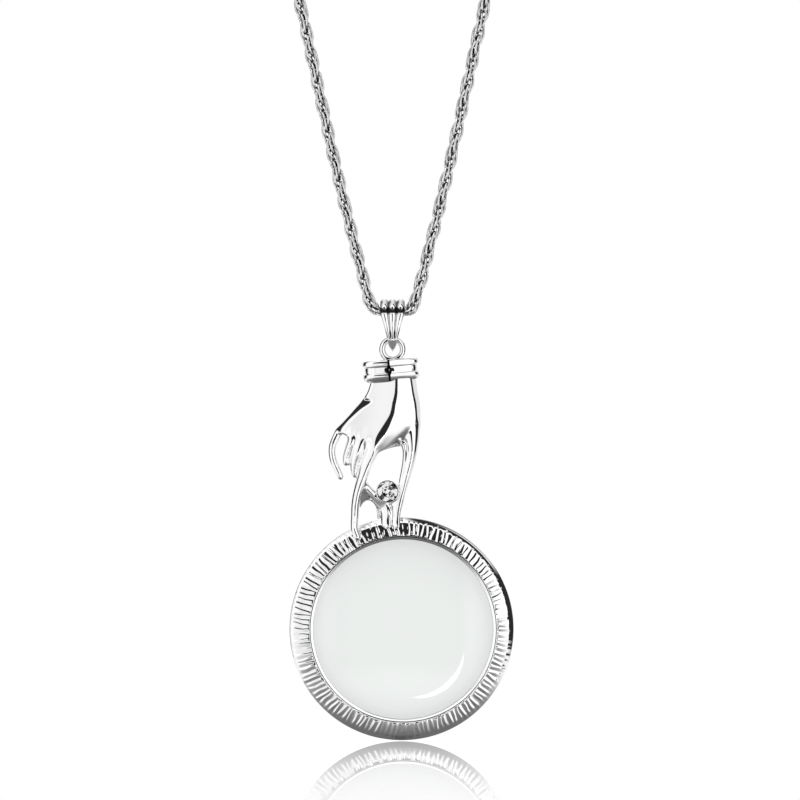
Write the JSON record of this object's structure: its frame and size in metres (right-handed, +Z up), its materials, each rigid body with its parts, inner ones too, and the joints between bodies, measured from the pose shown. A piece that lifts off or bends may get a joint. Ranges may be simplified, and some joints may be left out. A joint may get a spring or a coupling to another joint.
{
  "type": "magnifier pendant necklace",
  "caption": "Round magnifying lens in a textured rim, held by a cuffed hand with a small stone, on a long rope chain.",
  "frame": {"origin": "side of the clasp barrel that rests on the nape of the neck, in the middle of its length", "axes": "+Z up, the pendant hangs down and faces -Y, +X to the right of the picture"},
  "size_m": [0.1176, 0.1012, 0.3467],
  "materials": {
    "chain": "bright polished silver-tone plate",
    "clasp": "bright polished silver-tone plate",
    "bail": "bright polished silver-tone plate",
    "hand_frame": "polished silver-tone casting with a bark-textured rim",
    "stone": "clear faceted stone",
    "lens": "clear polished glass"
  },
  "bodies": {
    "chain": {"rope_chain_left": "chain", "rope_chain_right": "chain", "clasp": "clasp"},
    "bail": {"bail": "bail"},
    "pendant": {"hand_frame": "hand_frame", "stone": "stone", "lens": "lens"}
  },
  "joints": [
    {"name": "bail_swing", "type": "hinge", "parent": "chain", "child": "bail", "pos_m": [0, -0.0942, -0.2605], "axis": [1, 0, 0], "range_deg": [-90, 90]},
    {"name": "pendant_swing", "type": "hinge", "parent": "bail", "child": "pendant", "pos_m": [0, -0.0942, -0.2659], "axis": [1, 0, 0], "range_deg": [-40, 40]}
  ]
}
